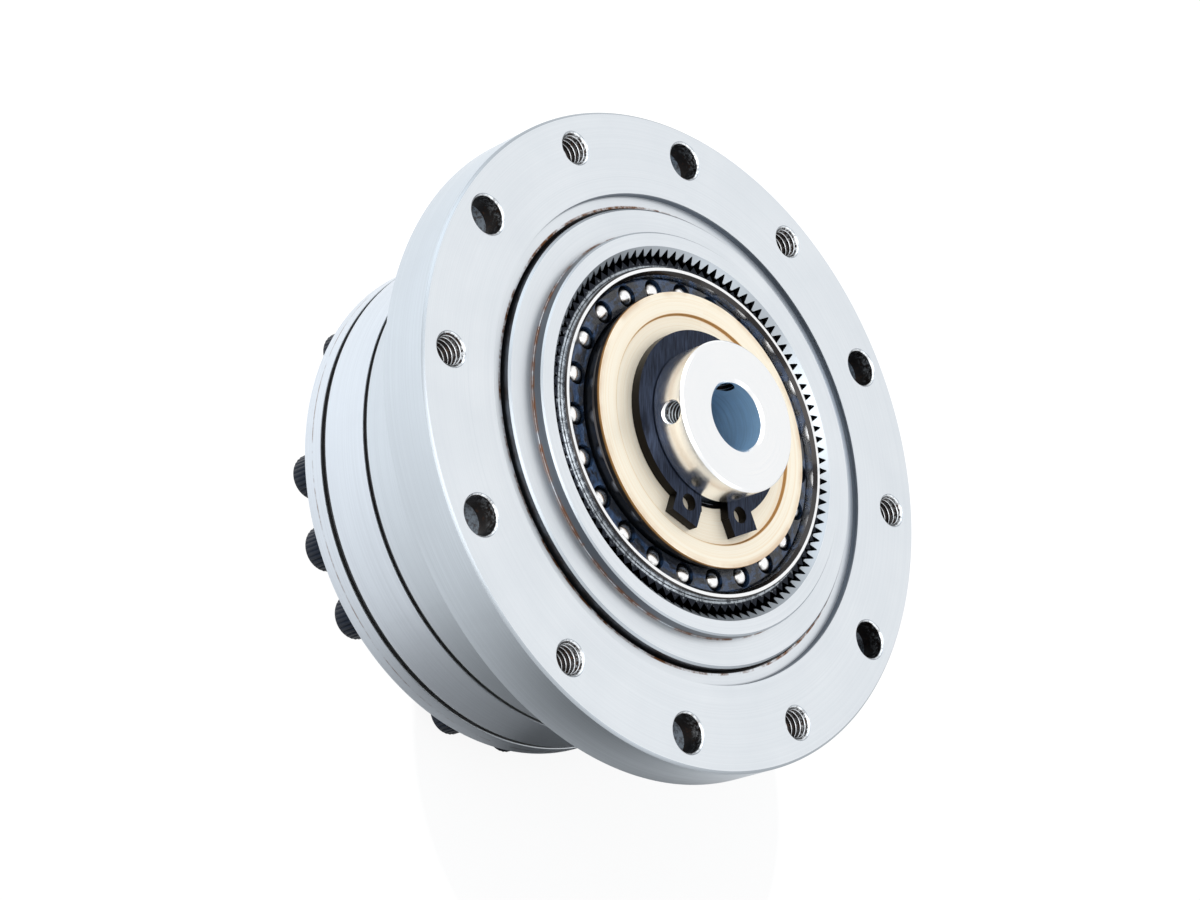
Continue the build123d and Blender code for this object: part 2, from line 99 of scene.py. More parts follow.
class GearSizes(bpy.types.PropertyGroup):
    """Sizes in millimetres that the visible pieces share."""

    flange_rim: length_value("Flange rim", "How far the flange reaches past the toothed ring", 12.0)
    flange_thickness: length_value("Flange thickness", "Thickness of the flange's outer part", 7.0)
    flange_chamfer: length_value("Flange chamfer", "Broken edge round the flange", 0.3)
    recess_radius: length_value("Recess radius", "Outside of the shallow step in the flange face", 29.4)
    recess_depth: length_value("Recess depth", "Depth of the shallow step in the flange face", 0.8)
    flange_bore: length_value("Flange bore", "Radius of the opening through the flange", 25.0)
    ring_seat: length_value("Toothed ring seat", "Radius of the seat of the toothed ring", 27.5)
    bolt_circle: length_value("Bolt circle", "Radius of the circle of the flange holes", 35.5)
    bolt_hole: length_value("Bolt hole", "Radius of the plain flange holes", 2.25)
    bolt_counterbore: length_value("Counterbore", "Radius of the sunk seats behind the flange", 3.7)
    bolt_land: length_value("Bolt land", "Depth of the plain hole before its counterbore", 3.0)
    thread_core: length_value("Thread core", "Core radius of the M4 threads", 1.65)
    thread_outside: length_value("Thread outside", "Outside radius of the M4 threads", 2.0)
    thread_pitch: length_value("Thread pitch", "Pitch of the M4 threads", 0.7)
    mouth: length_value("Hole chamfer", "Chamfer at the mouth of the flange holes", 0.25)
    lip_radius: length_value("Lip radius", "Outside of the raised lip of the toothed ring", 24.1)
    lip_height: length_value("Lip height", "Height of the raised lip", 1.5)
    tooth_root: length_value("Tooth root", "Root radius of the ring's teeth", 22.12)
    tooth_tip: length_value("Tooth tip", "Tip radius of the ring's teeth", 21.25)
    seam_front: length_value("Front seam", "Width of the seam before the front housing ring", 0.72)
    seam_rear: length_value("Rear seam", "Width of the seam before the rear housing ring", 0.9)
    screw_circle: length_value("Screw circle", "Radius of the circle of the housing screws", 27.5)
    screw_height: length_value("Screw head height", "Height of the socket heads", 3.0)
    screw_radius: length_value("Screw head radius", "Radius of the socket heads", 2.75)
    race_radius: length_value("Race radius", "Outside of the thin bearing, without its wave", 20.25)
    ball_circle: length_value("Ball circle", "Radius of the circle of the balls", 17.7)
    ball_radius: length_value("Ball radius", "Radius of the balls with their clearance", 1.6)
    ball_lift: length_value("Ball lift", "How far the balls sit before the middle of the races", 0.4)
    washer_bore: length_value("Washer bore", "Radius of the opening of the washer", 9.4)
    washer_step: length_value("Washer step", "Radius of the step in the washer", 13.8)
    washer_step_depth: length_value("Washer step depth", "Depth of the step in the washer", 0.35)
    wave: length_value("Wave height", "How far the oval is pushed out", 0.42)
    hub_radius: length_value("Hub radius", "Radius of the input hub", 9.0)
    hub_flange: length_value("Hub flange", "Radius of the flange at the foot of the hub", 13.0)
    hub_flange_height: length_value("Hub flange height", "Height of the flange at the foot of the hub", 2.45)
    ring_groove: length_value("Snap ring groove", "Radius at the bottom of the groove", 8.4)
    ring_groove_width: length_value("Snap ring groove width", "Width of the groove", 1.3)
    hub_bore: length_value("Hub bore", "Radius of the hub's bore", 4.0)
    set_screw_core: length_value("Set screw core", "Core radius of the set screw threads", 1.25)
    set_screw_outside: length_value("Set screw outside", "Outside radius of the set screw threads", 1.5)
    set_screw_pitch: length_value("Set screw pitch", "Pitch of the set screw threads", 0.5)
    set_screw_depth: length_value("Set screw depth", "Set screw axis below the end of the hub", 1.85)
    hub_chamfer: length_value("Hub chamfer", "Broken edges of the input hub", 0.3)
    wave_angle: FloatProperty(name="Wave angle", description="Direction of the oval's long axis",
                              default=math.radians(100.0), subtype="ANGLE")
    ring_teeth: IntProperty(name="Ring teeth", description="Teeth of the rigid ring", default=102, min=20)
    balls: IntProperty(name="Balls", description="Balls of the thin bearing", default=23, min=3)
    first_ball: FloatProperty(name="First ball", description="Direction of the first ball",
                              default=math.radians(262.6), subtype="ANGLE")


class GearColours(bpy.types.PropertyGroup):
    """Colours of the finishes."""

    steel: colour_value("Ground steel", "Flange, housing rings and toothed ring", (0.80, 0.835, 0.87))
    # Painted shade: the next two colours are darker steel that upright sides take in place of how light falls
    # on them.
    steel_wall_shade: colour_value("Steel walls", "Upright sides of the flange and rings", (0.62, 0.68, 0.74))
    housing_wall_shade: colour_value("Housing walls", "Upright sides of the housing rings", (0.69, 0.75, 0.82))
    # Painted shade: near-black colour that the upright walls of the toothed ring take, the outside of the
    # raised lip among them.
    lip_wall_shade: colour_value("Lip wall", "Oily outside of the raised lip", (0.085, 0.095, 0.11))
    # Painted shade: the broken edge colour darkens chamfers to tone down their highlight.
    edge: colour_value("Broken edges", "Flats of the broken edges", (0.40, 0.44, 0.48))
    # Painted shade: colour for the walls of steps and grooves; the bore also takes it for its darker tool
    # marks.
    groove: colour_value("Groove walls", "Oily walls of steps and grooves", (0.13, 0.15, 0.18))
    # Painted shade: near-black colour inside holes, in seams, gaps and between teeth, on the bearing's broken
    # edges and under the washer's rim.
    hole: colour_value("Hole walls", "Inside of drilled and threaded holes", (0.014, 0.012, 0.012))
    # Painted light: lighter tone for the sunk seats seen through the plain holes.
    hole_back_light: colour_value("Hole backs", "Sunk seats seen through the plain holes", (0.20, 0.235, 0.275))
    bore: colour_value("Bore wall", "Honed bore of the hub", (0.33, 0.57, 0.82))
    steel_dark: colour_value("Steel marks", "Darker tool marks in the steel", (0.60, 0.65, 0.70))
    tooth: colour_value("Tooth steel", "Flexible cup and its teeth", (0.42, 0.46, 0.50))
    # Dark oil on the cup, and also its painted shade over the teeth outside the rim.
    tooth_oil_and_shade: colour_value("Tooth oil", "Dark oil on the flexible cup", (0.016, 0.019, 0.026))
    hub: colour_value("Hub steel", "Bright turned hub", (0.94, 0.94, 0.94))
    chrome: colour_value("Bearing steel", "Races and rollers", (0.93, 0.94, 0.95))
    ball: colour_value("Ball steel", "Polished balls", (0.98, 0.98, 0.98))
    cage: colour_value("Cage", "Dark moulded cage under grease", (0.020, 0.048, 0.110))
    plug: colour_value("Plug steel", "Oiled plug, inner race and cross slider", (0.07, 0.08, 0.10))
    bronze: colour_value("Bronze", "Face of the washer", (0.98, 0.91, 0.77))
    bronze_line: colour_value("Bronze lines", "Turned lines on the washer", (0.86, 0.68, 0.44))
    bronze_step: colour_value("Bronze step", "Step of the washer", (0.72, 0.50, 0.25))
    bronze_edge: colour_value("Bronze edge", "Darker edge wall of the washer", (0.52, 0.27, 0.09))
    blued: colour_value("Blued steel", "Snap ring", (0.009, 0.012, 0.022))
    blued_light: colour_value("Blued steel, lit", "Brushed lines of the snap ring", (0.034, 0.047, 0.082))
    blued_wall: colour_value("Blued walls", "Edges of the snap ring", (0.004, 0.003, 0.002))
    blackened: colour_value("Black oxide", "Socket screws", (0.011, 0.017, 0.030))
    blackened_light: colour_value("Black oxide, lit", "Worn lines of the screws", (0.020, 0.031, 0.054))
    rubber: colour_value("Rubber", "Seals", (0.008, 0.008, 0.010))
    stain: colour_value("Old oil", "Brown film left in corners and seams", (0.16, 0.07, 0.03))
    floor: colour_value("Floor", "Pale floor", (0.92, 0.93, 0.94))


def sizes():
    """Shared sizes of the scene."""
    return bpy.context.scene.gear_sizes


def colours():
    """Shared colours of the scene."""
    return bpy.context.scene.gear_colours


def rgba(colour):
    """Colour with full alpha."""
    return (colour[0], colour[1], colour[2], 1.0)


class Shader:
    """Small helper that adds nodes to one material and links them."""

    def __init__(self, name):
        self.material = bpy.data.materials.new(name)
        self.material.use_nodes = True
        self.nodes = self.material.node_tree.nodes
        self.links = self.material.node_tree.links
        self.surface = self.nodes["Principled BSDF"]

    def add(self, kind, **values):
        """New node with its properties set."""
        node = self.nodes.new(kind)
        for key, value in values.items():
            setattr(node, key, value)
        return node

    def join(self, output, socket):
        """Link from an output to an input."""
        self.links.new(output, socket)

    def math(self, operation, first, second=0.0):
        """Result of a Math node; a number goes straight to its socket."""
        node = self.add("ShaderNodeMath", operation=operation)
        for socket, value in zip(node.inputs, (first, second)):
            if isinstance(value, (int, float)):
                socket.default_value = float(value)
            else:
                self.join(value, socket)
        return node.outputs[0]

    def times(self, first, second):
        """Product of two values."""
        return self.math("MULTIPLY", first, second)

    def less(self, first, second):
        """First value less the second."""
        return self.math("SUBTRACT", first, second)

    def distance(self, across, along):
        """Distance from two lengths at right angles."""
        return self.math("SQRT", self.math("ADD", self.times(across, across), self.times(along, along)))

    def span(self, factor, low, high, from_low=0.0, from_high=1.0):
        """Map Range from one span of numbers to another."""
        node = self.add("ShaderNodeMapRange")
        node.inputs["From Min"].default_value = from_low
        node.inputs["From Max"].default_value = from_high
        node.inputs["To Min"].default_value = low
        node.inputs["To Max"].default_value = high
        self.join(factor, node.inputs["Value"])
        return node.outputs["Result"]

    def band(self, value, low, high):
        """One between two values, zero outside them, with a short fade."""
        fade = 0.05
        rise = self.span(value, 0.0, 1.0, low - fade, low + fade)
        fall = self.span(value, 1.0, 0.0, high - fade, high + fade)
        return self.times(rise, fall)

    def zone(self, radius, height, inner, outer, bottom, top):
        """One in a ring between two radii and two heights, zero outside it."""
        return self.times(self.band(radius, inner, outer), self.band(height, bottom, top))

    def place(self):
        """Object coordinates in millimetres, and the same as radius, angle round Z and height."""
        coords = self.add("ShaderNodeTexCoord").outputs["Object"]
        scaled = self.add("ShaderNodeVectorMath", operation="SCALE")
        scaled.inputs["Scale"].default_value = 1 / MM
        self.join(coords, scaled.inputs[0])
        parts = self.add("ShaderNodeSeparateXYZ")
        self.join(scaled.outputs[0], parts.inputs[0])
        x, y, z = parts.outputs
        return scaled.outputs[0], self.distance(x, y), self.math("ARCTAN2", y, x), z

    def lean(self):
        """One on level faces, zero on upright walls."""
        normal = self.add("ShaderNodeNewGeometry").outputs["Normal"]
        parts = self.add("ShaderNodeSeparateXYZ")
        self.join(normal, parts.inputs[0])
        return self.math("ABSOLUTE", parts.outputs[2])

    def upright(self):
        """One on upright walls, zero on level faces and broken edges."""
        return self.span(self.lean(), 1.0, 0.0, 0.78, 0.95)

    def broken_edge(self):
        """One on the 45 degree flats of broken edges."""
        lean = self.lean()
        return self.times(self.span(lean, 0.0, 1.0, 0.45, 0.62), self.span(lean, 1.0, 0.0, 0.80, 0.92))

    def noise(self, vector, scale, detail=4.0, rough=0.55):
        """Noise texture on a vector."""
        node = self.add("ShaderNodeTexNoise")
        node.inputs["Scale"].default_value = scale
        node.inputs["Detail"].default_value = detail
        node.inputs["Roughness"].default_value = rough
        self.join(vector, node.inputs["Vector"])
        return node.outputs[0]

    def turned_marks(self, radius, angle, height, along=7.0, run=0.6):
        """Noise drawn out round the axis, as a lathe or a grinding wheel leaves it."""
        vector = self.add("ShaderNodeCombineXYZ")
        self.join(self.times(radius, along), vector.inputs[0])
        self.join(self.times(angle, run), vector.inputs[1])
        self.join(self.times(height, along), vector.inputs[2])
        return self.noise(vector.outputs[0], 1.0, 3.0, 0.6)

    def bump(self, height, strength, distance=0.05):
        """Bump from a height, its distance in millimetres."""
        node = self.add("ShaderNodeBump")
        node.inputs["Strength"].default_value = strength
        node.inputs["Distance"].default_value = distance * MM
        self.join(height, node.inputs["Height"])
        self.join(node.outputs[0], self.surface.inputs["Normal"])

    def mix(self, factor, first, second):
        """Mix of two colours; a plain colour goes straight to its socket."""
        node = self.add("ShaderNodeMix", data_type="RGBA")
        self.join(factor, node.inputs[0])
        for socket, value in ((node.inputs[6], first), (node.inputs[7], second)):
            if isinstance(value, bpy.types.NodeSocket):
                self.join(value, socket)
            else:
                socket.default_value = rgba(value)
        return node.outputs[2]

    def coat(self, weight, rough):
        """Film of clear oil over the surface."""
        self.surface.inputs["Coat Weight"].default_value = weight
        self.surface.inputs["Coat Roughness"].default_value = rough

    def paint(self, tone, metal, rough):
        """Gives the surface its colour, metal share and roughness, and hands back the material."""
        self.join(tone, self.surface.inputs["Base Color"])
        self.surface.inputs["Metallic"].default_value = metal
        self.join(rough, self.surface.inputs["Roughness"])
        return self.material


def turned_steel(name, light, dark, wall=None, rough=0.34, marks=7.0, strength=0.12, metal=1.0, painted_shade_rings=(),
                 stains=()):
    """Turned or ground steel with fine marks round the axis and slight mottling; a wall colour, if given, is
    painted shade on upright walls, and broken edges get the edge colour as painted shade.
    Each painted shade ring is a ring of inner radius, outer radius, bottom, top and colour, and each stain
    has an amount of old oil at the end."""
    shader = Shader(name)
    vector, radius, angle, height = shader.place()
    fine = shader.turned_marks(radius, angle, height, marks)
    broad = shader.noise(vector, 0.12, 3.0)
    tone = shader.mix(shader.span(broad, 0.0, 0.5), light, dark)
    tone = shader.mix(shader.span(fine, 0.30, 0.0, 0.25, 0.60), tone, dark)
    # Painted shade: upright walls take the darker wall colour, mottled, and broken edges take the edge
    # colour.
    if wall is not None:
        darker_wall_shade = [0.93 * c for c in wall]
        shaded_wall_tone = shader.mix(shader.span(fine, 0.0, 1.0, 0.40, 0.66), wall, darker_wall_shade)
        shaded_wall_tone = shader.mix(shader.span(broad, 0.0, 0.5, 0.45, 0.62), shaded_wall_tone, darker_wall_shade)
        tone = shader.mix(shader.upright(), tone, shaded_wall_tone)
        tone = shader.mix(shader.broken_edge(), tone, colours().edge)
    for *ring, tint in painted_shade_rings:
        tone = shader.mix(shader.zone(radius, height, *ring), tone, tint)
    for *ring, amount in stains:
        patchy = shader.span(shader.noise(vector, 0.35, 6.0, 0.7), 0.0, amount, 0.42, 0.58)
        tone = shader.mix(shader.times(shader.zone(radius, height, *ring), patchy), tone, colours().stain)
    shader.bump(fine, strength)
    return shader.paint(tone, metal, shader.span(fine, rough - 0.07, rough + 0.12))


def nearest(shader, angle, first, step):
    """Angle from the nearest of several directions that start at the first and are a step apart."""
    turned = shader.less(angle, first - step / 2)
    return shader.less(shader.math("FLOORED_MODULO", turned, step), step / 2)


def flange_hole(shader, radius, angle):
    """Distance from the axis of the nearest flange hole, in millimetres."""
    turned = nearest(shader, angle, 0.0, TURN / 12)
    along = shader.less(shader.times(radius, shader.math("COSINE", turned)), sizes().bolt_circle)
    return shader.distance(shader.times(radius, shader.math("SINE", turned)), along)


def hub_hole(shader, radius, angle, height):
    """Distance from the axis of the nearest set screw hole, in millimetres."""
    turned = nearest(shader, angle, math.radians(SET_SCREWS[0]), TURN / 4)
    lift = shader.less(height, top_of("input_hub") - sizes().set_screw_depth)
    return shader.distance(shader.times(radius, shader.math("SINE", turned)), lift)


def hole_steel(name, light, core, in_hub=False):
    """Wall of a hole in a painted shade: painted highlights on the crests of a thread that fade deeper in,
    patches of old oil, and patches of bare metal near its mouth.
    """
    shader = Shader(name)
    vector, radius, angle, height = shader.place()
    patches = shader.noise(vector, 2.2, 6.0, 0.75)
    if in_hub:
        away = hub_hole(shader, radius, angle, height)
        depth = shader.less(sizes().hub_radius, radius)
    else:
        away = flange_hole(shader, radius, angle)
        depth = shader.less(top_of("mounting_flange"), height)
    # Painted highlight on the thread crests, fading into painted shade deeper in the hole.
    crest = shader.times(shader.span(away, 1.0, 0.0, core + 0.01, core + 0.08),
                         shader.span(depth, 1.0, 0.25, 1.0, 5.0))
    bare = shader.times(shader.span(patches, 0.0, 0.7, 0.48, 0.66), shader.span(depth, 1.0, 0.0, 0.2, 2.0))
    tone = shader.mix(shader.math("MAXIMUM", crest, bare), colours().hole, light)
    tone = shader.mix(shader.span(patches, 0.35, 0.0, 0.30, 0.45), tone, colours().stain)
    if not in_hub:
        seat = sizes().bolt_counterbore - 0.3
        # Painted light on the sunk seat seen through the plain hole.
        deep = shader.times(shader.span(away, 0.0, 0.8, seat - 0.8, seat),
                            shader.span(patches, 0.2, 1.0, 0.40, 0.55))
        tone = shader.mix(deep, tone, colours().hole_back_light)
        mouth = sizes().mouth
        rim = shader.times(shader.span(depth, 1.0, 0.0, mouth - 0.05, mouth - 0.01),
                           shader.span(patches, 0.4, 1.0, 0.40, 0.52))
        tone = shader.mix(rim, tone, light)
    shader.bump(patches, 0.3, 0.1)
    return shader.paint(tone, 0.9, shader.span(patches, 0.25, 0.45))


def oiled_metal(name, light, dark, rough=0.12, film_from=0.52, film_to=0.70):
    """Smooth bearing steel under a film of dark oil, with painted shade on its broken edges."""
    shader = Shader(name)
    vector, radius, angle, height = shader.place()
    film = shader.noise(vector, 0.55, 5.0, 0.65)
    tone = shader.mix(shader.span(film, 0.0, 1.0, film_from, film_to), light, dark)
    # Painted shade: broken edges take the near-black hole colour.
    tone = shader.mix(shader.broken_edge(), tone, colours().hole)
    shader.coat(0.5, 0.08)
    shader.bump(shader.turned_marks(radius, angle, height, 9.0), 0.08)
    return shader.paint(tone, 1.0, shader.span(film, rough, rough + 0.18))


def moulded_black(name, base, rough, gloss):
    """Dark moulded piece with an uneven, greasy skin, black streaks along its run and painted shade on its
    part inside the ball circle.
    """
    shader = Shader(name)
    vector, radius, angle, height = shader.place()
    skin = shader.noise(vector, 1.3, 6.0, 0.65)
    streaks = shader.turned_marks(radius, angle, height, 1.1, 9.0)
    black = [0.1 * c for c in base]
    lift = [min(1.0, 2.2 * c + 0.01) for c in base]
    inside = sizes().ball_circle - 1.0
    tone = shader.mix(shader.span(skin, 0.0, 1.0, 0.50, 0.72), base, lift)
    tone = shader.mix(shader.span(streaks, 0.0, 1.0, 0.46, 0.56), tone, black)
    # Painted shade: inside the ball circle the piece turns black, where it lies under the washer.
    tone = shader.mix(shader.span(radius, 1.0, 0.0, inside, inside + 0.4), tone, black)
    shader.coat(gloss, 0.12)
    shader.bump(shader.math("ADD", skin, streaks), 0.9, 0.25)
    return shader.paint(tone, 0.0, shader.span(skin, rough, rough + 0.25))


def oiled_cup(name, light, dark):
    """Thin cup under dark oil, with painted shade over its teeth outside the rim and a painted highlight line
    along its rim that follows the oval.
    """
    shader = Shader(name)
    vector, radius, angle = shader.place()[:3]
    turned = shader.less(angle, sizes().wave_angle)
    wave = shader.times(shader.math("COSINE", shader.times(turned, 2.0)), sizes().wave)
    even = shader.less(radius, wave)
    film = shader.noise(vector, 2.2, 5.0, 0.7)
    rim = even_reach("bearing_outer_race")
    # Oil patches, and painted shade past the rim over the teeth.
    oil_and_shade = shader.math("MAXIMUM", shader.span(film, 1.0, 0.35, 0.58, 0.66),
                       shader.span(even, 0.0, 1.0, rim + 0.5, rim + 0.8))
    # Painted highlight: a bright line along the rim.
    bright = shader.times(shader.band(even, rim + 0.08, rim + 0.34), shader.span(film, 0.25, 1.0, 0.42, 0.52))
    oil_and_shade = shader.times(oil_and_shade, shader.less(1.0, bright))
    shader.bump(film, 0.3)
    return shader.paint(shader.mix(oil_and_shade, light, dark), 1.0, shader.span(film, 0.18, 0.40))


def blackened_steel(name, base, lift, wall, rough=0.34):
    """Blued or black-oxide steel with fine straight brushing and darker walls."""
    shader = Shader(name)
    vector = shader.place()[0]
    grain = shader.noise(vector, 3.5, 4.0)
    along = shader.add("ShaderNodeVectorMath", operation="MULTIPLY")
    along.inputs[1].default_value = (0.5, 9.0, 1.0)
    shader.join(vector, along.inputs[0])
    fine = shader.noise(along.outputs[0], 1.0, 3.0, 0.6)
    tone = shader.mix(shader.span(fine, 0.0, 1.0, 0.38, 0.66), base, lift)
    tone = shader.mix(shader.upright(), tone, wall)
    shader.bump(fine, 0.25)
    return shader.paint(tone, 0.9, shader.span(grain, rough - 0.04, rough + 0.16))


def turned_bronze(name):
    """Pale bronze: fine turned lines on the face, a darker step, warm walls, a stained rim and painted shade
    low on its outer wall.
    """
    shader = Shader(name)
    c = colours()
    vector, radius, angle, height = shader.place()
    reach = reach_of("rub_washer")
    step = sizes().washer_step
    low = top_of("rub_washer") - 0.32
    fine = shader.turned_marks(radius, angle, height, 8.0, 0.4)
    tone = shader.mix(shader.span(fine, 0.0, 0.45, 0.42, 0.70), c.bronze, c.bronze_line)
    tone = shader.mix(shader.band(radius, step - 0.2, step + 0.06), tone, c.bronze_step)
    tone = shader.mix(shader.upright(), tone, c.bronze_edge)
    patchy = shader.span(shader.noise(vector, 0.15, 4.0), 0.0, 1.0, 0.42, 0.60)
    rim = shader.times(shader.span(radius, 0.0, 0.55, reach - 0.85, reach), patchy)
    tone = shader.mix(rim, tone, c.bronze_edge)
    # Painted shade on the lower part of the outer wall, under the face.
    outside = shader.span(radius, 0.0, 1.0, reach - 0.25, reach - 0.05)
    under = shader.times(outside, shader.span(height, 1.0, 0.0, low - 0.1, low + 0.1))
    tone = shader.mix(under, tone, c.hole)
    shader.bump(fine, 0.25)
    return shader.paint(tone, 0.5, shader.span(fine, 0.48, 0.64))


def flange_finish():
    """Ground steel of the flange, with painted shadow in the gap beside the toothed ring, painted shade on
    the wall of its step, and old oil beside the toothed ring.
    """
    s, c = sizes(), colours()
    face = top_of("mounting_flange")
    recess = face - s.recess_depth
    seat = s.ring_seat
    # Painted shadow in the gap at the seat of the toothed ring, and painted shade on the step's wall.
    gap = (seat - 0.05, seat + 0.30, recess - 0.5, recess + 0.02, c.hole)
    step = (s.recess_radius - 0.25, s.recess_radius, recess, face - 0.06, c.groove)
    oil = (seat + 0.24, seat + 0.60, recess - 0.1, recess + 0.1, 1.0)
    turned_steel("gear_ground_steel", c.steel, c.steel_dark, c.steel_wall_shade, painted_shade_rings=(gap, step), stains=(oil,))


def spline_finish():
    """Ground steel of the toothed ring, with painted shade between and below its teeth and on its upright
    walls such as the outside of the lip, and old oil round the lip.
    """
    s, c = sizes(), colours()
    face = top_of("mounting_flange")
    tips = top_of("circular_spline") - 0.92
    # Painted shade deep between the teeth, below their tips.
    teeth = (s.tooth_tip - 1.25, s.tooth_root + 0.28, tips - 10.0, tips, c.hole)
    oil = (s.lip_radius - 0.1, s.lip_radius + 0.16, face + 0.2, face + 0.62, 0.9)
    turned_steel("gear_spline_steel", c.steel, c.steel_dark, c.lip_wall_shade, painted_shade_rings=(teeth,), stains=(oil,))


def housing_finish():
    """Turned steel of the housing rings, with painted shade in their seams and a faint rusty line."""
    s, c = sizes(), colours()
    seal = reach_of("joint_seal_front")
    seams = []
    for node, depth in ((FRONT_RING, s.seam_front), (REAR_RING, s.seam_rear)):
        # Painted shade: the seam beside each seal is painted near-black.
        seams.append((seal - 1.0, seal - 0.04, top_of(node) - depth, top_of(node), c.hole))
    line = bottom_of(REAR_RING) + 1.9
    oil = (seal - 0.84, seal + 1.16, line - 0.08, line + 0.08, 0.7)
    turned_steel("gear_ring_steel", c.steel, c.steel_dark, c.housing_wall_shade, marks=5.0, painted_shade_rings=seams,
                 stains=(oil,))


def hub_finish():
    """Bright turned steel of the hub, with painted shade in the groove of the snap ring."""
    s, c = sizes(), colours()
    low, high = bottom_of("snap_ring") - 0.2, top_of("snap_ring") + 0.16
    # Painted shade round the snap ring, in its groove.
    groove = (s.hub_radius - 0.8, s.hub_radius + 0.1, low, high, c.groove)
    turned_steel("gear_hub_steel", c.hub, c.steel, rough=0.20, marks=10.0, strength=0.10, painted_shade_rings=(groove,))


def finishes():
    """All finishes, made once and kept by name."""
    if "gear_ground_steel" in bpy.data.materials:
        return
    s, c = sizes(), colours()
    flange_finish()
    spline_finish()
    housing_finish()
    hub_finish()
    hole_steel("gear_hole_steel", c.steel, s.thread_core)
    hole_steel("gear_hub_hole", c.steel_wall_shade, s.set_screw_core, in_hub=True)
    turned_steel("gear_bore_steel", c.bore, c.groove, rough=0.40, marks=3.0, metal=0.25)
    oiled_cup("gear_tooth_steel", c.tooth, c.tooth_oil_and_shade)
    oiled_metal("gear_bearing_steel", c.chrome, c.steel_dark, 0.18, 0.60, 0.75)
    oiled_metal("gear_ball_steel", c.ball, c.steel_dark, 0.12, 0.56, 0.70)
    oiled_metal("gear_oiled_plug", c.plug, c.cage, 0.22)
    moulded_black("gear_cage", c.cage, 0.25, 0.5)
    moulded_black("gear_rubber", c.rubber, 0.5, 0.0)
    turned_bronze("gear_bronze")
    blackened_steel("gear_blued_steel", c.blued, c.blued_light, c.blued_wall)
    blackened_steel("gear_black_screw", c.blackened, c.blackened_light, c.blackened, 0.38)


def finish_named(name):
    """A finish by name."""
    finishes()
    return bpy.data.materials[name]


def dress(obj, *finish_names):
    """Gives a piece its finishes, the first one on all its faces."""
    obj.data.materials.clear()
    for name in finish_names:
        obj.data.materials.append(finish_named(name))
    obj.data.polygons.foreach_set("material_index", [0] * len(obj.data.polygons))


def dress_where(obj, index, test):
    """Gives another of its finishes to the faces whose centre passes a test, in millimetres."""
    for face in obj.data.polygons:
        if test(face.center / MM):
            face.material_index = index


def eased(points, size):
    """Closed outline of (radius, height) points with every corner cut by two short flats."""
    result = []
    count = len(points)
    for i, point in enumerate(points):
        corner = Vector(point)
        before = Vector(points[i - 1]) - corner
        after = Vector(points[(i + 1) % count]) - corner
        cut = min(size, 0.3 * before.length, 0.3 * after.length)
        start = corner + before.normalized() * cut
        end = corner + after.normalized() * cut
        middle = (start + end) / 2 * 0.42 + corner * 0.58
        result += [tuple(start), tuple(middle), tuple(end)]
    return result


def placed(name, data):
    """New object that holds the data, linked to the scene."""
    obj = bpy.data.objects.new(name, data)
    bpy.context.scene.collection.objects.link(obj)
    return obj


def shade(mesh, sharp=14.0):
    """Smooth faces, with sharp edges past an angle in degrees."""
    mesh.polygons.foreach_set("use_smooth", [True] * len(mesh.polygons))
    mesh.set_sharp_from_angle(angle=math.radians(sharp))


def mesh_piece(name, vertices, faces):
    """New object from a mesh, welded and with its normals outward."""
    mesh = bpy.data.meshes.new(name)
    mesh.from_pydata(vertices, [], faces)
    work = bmesh.new()
    work.from_mesh(mesh)
    bmesh.ops.remove_doubles(work, verts=work.verts, dist=1e-7)
    bmesh.ops.recalc_face_normals(work, faces=work.faces)
    work.to_mesh(mesh)
    work.free()
    shade(mesh)
    mesh.update()
    return placed(name, mesh)


def lathe(name, rows, steps=256, closed=True, turn=0.0):
    """Mesh whose rows run round Z. A row is a (radius, height) pair in millimetres, or a function of the
    angle that gives one. A closed outline joins its last row to its first."""
    vertices = []
    for row in rows:
        for k in range(steps):
            angle = TURN * k / steps
            radius, height = row(angle) if callable(row) else row
            vertices.append((radius * math.cos(angle + turn) * MM, radius * math.sin(angle + turn) * MM,
                             height * MM))
    faces = []
    last = len(rows) if closed else len(rows) - 1
    for i in range(last):
        a = i * steps
        b = (i + 1) % len(rows) * steps
        for k in range(steps):
            n = (k + 1) % steps
            faces.append((a + k, a + n, b + n, b + k))
    if not closed:
        faces.append(tuple(range(steps - 1, -1, -1)))
        faces.append(tuple((len(rows) - 1) * steps + k for k in range(steps)))
    return mesh_piece(name, vertices, faces)


def sphere(name, radius, rings, steps):
    """Ball with a number of rings from pole to pole and a number of steps round it."""
    rows = []
    for i in range(1, rings):
        slope = math.pi * i / rings
        rows.append((radius * math.sin(slope), -radius * math.cos(slope)))
    return lathe(name, rows, steps, closed=False)


def block(name, low, high):
    """Box between two corners, in millimetres."""
    vertices = []
    for z in (low[2], high[2]):
        for y in (low[1], high[1]):
            for x in (low[0], high[0]):
                vertices.append((x * MM, y * MM, z * MM))
    faces = [(0, 2, 3, 1), (4, 5, 7, 6), (0, 1, 5, 4), (2, 6, 7, 3), (0, 4, 6, 2), (1, 3, 7, 5)]
    return mesh_piece(name, vertices, faces)


def joined(name, objects, sharp=14.0):
    """One object from several."""
    work = bmesh.new()
    for obj in objects:
        bpy.context.view_layer.update()
        copy = obj.data.copy()
        copy.transform(obj.matrix_world)
        work.from_mesh(copy)
        bpy.data.meshes.remove(copy)
    mesh = bpy.data.meshes.new(name)
    work.to_mesh(mesh)
    work.free()
    for material in objects[0].data.materials:
        mesh.materials.append(material)
    for obj in objects:
        bpy.data.objects.remove(obj)
    shade(mesh, sharp)
    return placed(name, mesh)


